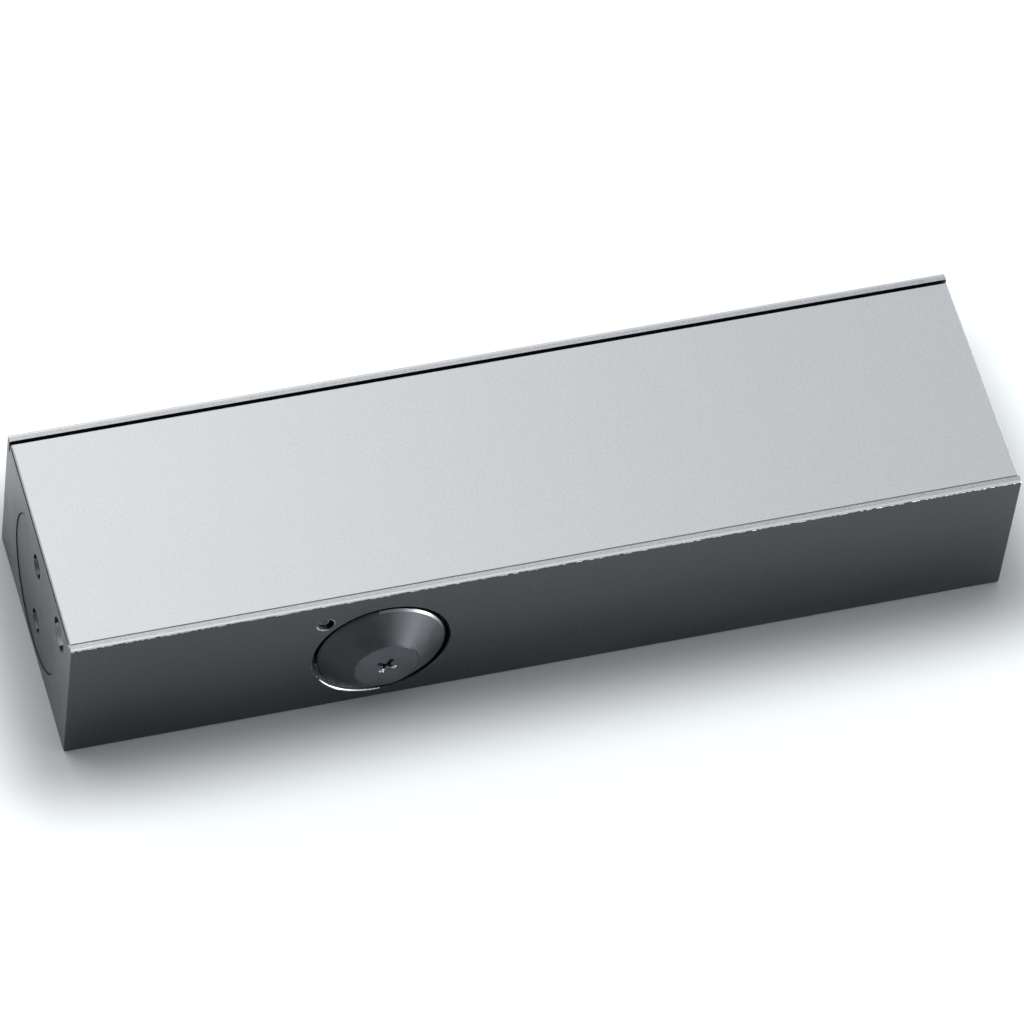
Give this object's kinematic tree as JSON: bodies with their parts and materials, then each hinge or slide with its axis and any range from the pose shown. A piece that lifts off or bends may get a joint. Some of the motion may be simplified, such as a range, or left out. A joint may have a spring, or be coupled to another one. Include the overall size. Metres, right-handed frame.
{
  "type": "overhead door closer",
  "caption": "Oblong overhead door closer with a clip-on cover plate, a capped pinion spindle, screw plugs in the ends and a sprung rack piston inside.",
  "frame": {"origin": "on the mounting face, at the centre of the four fixing holes", "axes": "+Z out of the cover, +X along the body towards the spring end, +Y towards the spindle end that takes the arm"},
  "size_m": [0.228, 0.0672, 0.041],
  "materials": {
    "housing": "dark graphite satin coat",
    "cover": "fine satin, clear anodised",
    "plug": "dark graphite satin coat",
    "cap": "dark satin",
    "screw": "blackened steel",
    "steel": "turned and ground",
    "bright_steel": "polished ball",
    "spring": "oil tempered wire",
    "bronze": "turned bronze",
    "seal": "oil seal rubber"
  },
  "bodies": {
    "housing": {"housing": "housing", "cover_clips": "spring", "left_end_plug": "plug", "left_plug_seal": "seal", "right_end_plug": "plug", "right_plug_seal": "seal", "near_bearing_carrier": "steel", "far_bearing_carrier": "steel", "near_bearing": "bronze", "far_bearing": "bronze", "near_thrust_washer": "bronze", "far_thrust_washer": "bronze", "near_spindle_seal": "seal", "far_spindle_seal": "seal", "return_spring": "spring", "spring_seat": "steel", "port_plug": "bright_steel"},
    "spindle": {"pinion_spindle": "steel", "spindle_cap": "cap", "cap_screw": "screw"},
    "piston": {"rack_piston": "steel", "check_ball_stop": "steel"},
    "check_ball": {"check_ball": "bright_steel"},
    "speed_valve": {"speed_valve": "steel", "speed_valve_seal": "seal"},
    "cover": {"cover_plate": "cover"}
  },
  "joints": [
    {"name": "piston_slide", "type": "slide", "parent": "housing", "child": "piston", "axis": [1, 0, 0], "range_m": [0, 0.02749], "stiffness_N_per_m": 14000, "deforming": ["return_spring"]},
    {"name": "spindle_turn", "type": "hinge", "parent": "housing", "child": "spindle", "pos_m": [-0.0393, 0, 0.0192], "axis": [0, 1, 0], "range_deg": [0, 180]},
    {"name": "check_ball_lift", "type": "slide", "parent": "piston", "child": "check_ball", "axis": [-1, 0, 0], "range_m": [0, 0.00095]},
    {"name": "speed_valve_turn", "type": "hinge", "parent": "housing", "child": "speed_valve", "pos_m": [-0.114, -0.02062, 0.03354], "axis": [1, 0, 0], "range_deg": [-360, 360]},
    {"name": "cover_lift", "type": "slide", "parent": "housing", "child": "cover", "axis": [0, 0, 1], "range_m": [0, 0.05]}
  ],
  "couplings": [
    {"joint": "spindle_turn", "follows": "piston_slide", "rad_per_m": 114.29}
  ]
}
